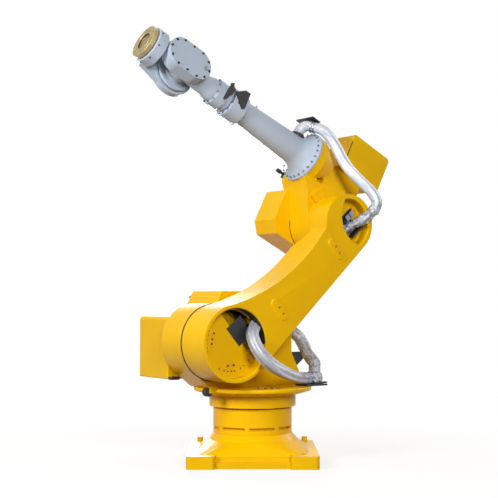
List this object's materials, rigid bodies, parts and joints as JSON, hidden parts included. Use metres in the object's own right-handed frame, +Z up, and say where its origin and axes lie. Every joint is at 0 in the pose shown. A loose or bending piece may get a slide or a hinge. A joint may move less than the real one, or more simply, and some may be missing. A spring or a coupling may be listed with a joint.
{
  "type": "six-axis industrial robot arm",
  "caption": "Floor-standing articulated robot arm with a bell-shaped foot, turning carousel, lower arm, forearm with a bending wrist and sleeved hoses, ending in a bolted tool flange.",
  "frame": {"origin": "on the floor, at the first axis under the middle of the foot", "axes": "+X to the front of the foot, +Z up; in the rest pose the carousel is turned 35 degrees about +Z and the arm is folded back"},
  "size_m": [1.559, 1.1977, 2.49],
  "materials": {
    "black_paint": "satin black powder coat on bent plate",
    "gold_flange": "turned steel with a yellow chromate finish",
    "grey_paint": "glossy pale blue-grey enamel on castings",
    "rubber": "moulded black rubber",
    "silver_sleeve": "aluminised woven sleeve over the cables",
    "yellow_paint": "glossy yellow enamel on cast iron and sheet steel"
  },
  "bodies": {
    "base": {"foot": "yellow_paint", "axis_1_housing": "yellow_paint", "levelling_bolts": "yellow_paint"},
    "carousel": {"turntable_ring": "yellow_paint", "turntable_plate": "yellow_paint", "shoulder_casting": "yellow_paint", "front_motor_cover": "yellow_paint", "rear_motor_cover": "yellow_paint", "front_motor_plug": "black_paint", "stop_buffer": "rubber", "stop_bracket": "yellow_paint", "hose_shelf": "black_paint", "hose_gusset": "black_paint", "hose_clamp": "silver_sleeve", "lower_hose": "silver_sleeve", "rear_hose": "silver_sleeve"},
    "lower_arm_body": {"lower_arm": "yellow_paint", "recess_plate": "black_paint", "elbow_hose_clamp": "black_paint", "upper_hose": "silver_sleeve"},
    "upper_arm": {"elbow_casting": "yellow_paint", "elbow_front_cover": "yellow_paint", "elbow_rear_cover": "yellow_paint", "forearm_tube": "grey_paint", "bearing_ring": "grey_paint", "hose_gland": "black_paint", "hose_bridge": "black_paint", "limit_pin": "black_paint", "fixed_cable_bracket": "black_paint"},
    "wrist_roll": {"wrist_neck": "grey_paint", "wrist_case": "grey_paint", "wrist_cover": "grey_paint", "turning_cable_bracket": "black_paint"},
    "wrist_bend": {"bend_drum": "grey_paint", "flange_housing": "grey_paint"},
    "tool_flange_body": {"tool_flange": "gold_flange"}
  },
  "joints": [
    {"name": "axis_1", "type": "hinge", "parent": "base", "child": "carousel", "pos_m": [0, 0, 0.32], "axis": [0, 0, 1], "range_deg": [-215, 145]},
    {"name": "axis_2", "type": "hinge", "parent": "carousel", "child": "lower_arm_body", "pos_m": [0.25394, 0.17781, 0.704], "axis": [-0.5736, 0.8192, 0], "range_deg": [-10.5, 125.5], "deforming": ["lower_hose"]},
    {"name": "axis_3", "type": "hinge", "parent": "lower_arm_body", "child": "upper_arm", "pos_m": [-0.41816, -0.2928, 1.40475], "axis": [0.5736, -0.8192, 0], "range_deg": [-40, 130], "deforming": ["upper_hose"]},
    {"name": "axis_4", "type": "hinge", "parent": "upper_arm", "child": "wrist_roll", "pos_m": [0.15332, 0.10736, 2.11488], "axis": [0.7299, 0.5111, 0.454], "range_deg": [-195, 165]},
    {"name": "axis_5", "type": "hinge", "parent": "wrist_roll", "child": "wrist_bend", "pos_m": [0.41097, 0.28776, 2.27514], "axis": [-0.6503, 0.7238, 0.2306], "range_deg": [-125, 125]},
    {"name": "axis_6", "type": "hinge", "parent": "wrist_bend", "child": "tool_flange_body", "pos_m": [0.61314, 0.42933, 2.40089], "axis": [0.7299, 0.5111, 0.454], "range_deg": [-180, 180]}
  ]
}
